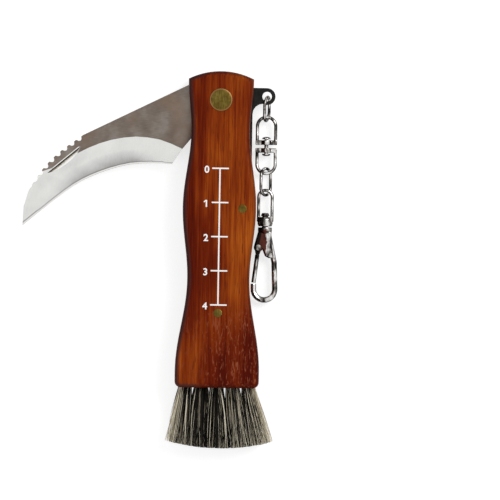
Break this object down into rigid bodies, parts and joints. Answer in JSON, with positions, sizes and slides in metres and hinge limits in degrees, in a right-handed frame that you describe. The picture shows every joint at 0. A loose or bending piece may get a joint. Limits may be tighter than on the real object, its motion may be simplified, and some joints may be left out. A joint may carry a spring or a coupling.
{
  "type": "folding mushroom knife",
  "caption": "Folding hooked blade in a two-scale wooden handle, with a hair brush in the butt and a swivel clasp on a side lug.",
  "frame": {"origin": "on the back scale's flat outer face, on the handle's centre line and halfway up the handle", "axes": "+X across the handle towards the lug, +Y along the handle from the brush to the pivot, +Z out of the front scale"},
  "size_m": [0.0755, 0.1108, 0.0133],
  "materials": {
    "handle_wood": "oiled red-brown hardwood",
    "block_wood": "raw hardwood",
    "black_steel": "blackened, satin",
    "blade_steel": "satin ground",
    "pin_brass": "aged, ground flush",
    "bright_plate": "bright nickel plate",
    "brush_hair": "grey-brown animal hair"
  },
  "bodies": {
    "handle": {"scale_front": "handle_wood", "scale_back": "handle_wood", "liner_front": "black_steel", "liner_back": "black_steel", "back_spring": "black_steel", "pivot_pin": "pin_brass", "spring_pin": "pin_brass", "end_pin": "pin_brass", "brush_block": "block_wood", "bristles": "brush_hair"},
    "blade": {"blade": "blade_steel"},
    "lug_ring": {"lug_ring": "bright_plate"},
    "swivel_top": {"swivel_upper_bow": "bright_plate", "swivel_rivet": "bright_plate"},
    "swivel_foot": {"swivel_lower_bow": "bright_plate"},
    "chain_link": {"chain_link": "bright_plate"},
    "clasp_eye": {"clasp_eye": "bright_plate"},
    "clasp_hook": {"clasp_hook": "bright_plate", "gate_pin": "bright_plate"},
    "clasp_gate": {"clasp_gate": "bright_plate"}
  },
  "joints": [
    {"name": "blade_fold", "type": "hinge", "parent": "handle", "child": "blade", "pos_m": [0, 0.0382, 0.0066], "axis": [0, 0, 1], "range_deg": [-125, 55]},
    {"name": "ring_swing", "type": "hinge", "parent": "handle", "child": "lug_ring", "pos_m": [0.0135, 0.03895, 0.0048], "axis": [0, 0, 1], "range_deg": [0, 120]},
    {"name": "swivel_lift", "type": "hinge", "parent": "lug_ring", "child": "swivel_top", "pos_m": [0.0135, 0.03335, 0.0025], "axis": [1, 0, 0], "range_deg": [-40, 40]},
    {"name": "swivel_spin", "type": "hinge", "parent": "swivel_top", "child": "swivel_foot", "pos_m": [0.0135, 0.0247, 0.0025], "axis": [0, 1, 0], "continuous": true},
    {"name": "link_lift", "type": "hinge", "parent": "swivel_foot", "child": "chain_link", "pos_m": [0.0135, 0.01675, 0.0025], "axis": [1, 0, 0], "range_deg": [-25, 25]},
    {"name": "eye_swing", "type": "hinge", "parent": "chain_link", "child": "clasp_eye", "pos_m": [0.0135, 0.01035, 0.0025], "axis": [0, 0, 1], "range_deg": [0, 40]},
    {"name": "clasp_spin", "type": "hinge", "parent": "clasp_eye", "child": "clasp_hook", "pos_m": [0.0135, 0.003, 0.0025], "axis": [0, 1, 0], "continuous": true},
    {"name": "gate_press", "type": "hinge", "parent": "clasp_hook", "child": "clasp_gate", "pos_m": [0.0116, -0.0051, 0.0025], "axis": [0, 0, 1], "range_deg": [0, 20], "stiffness_Nm_per_rad": 0.002}
  ]
}
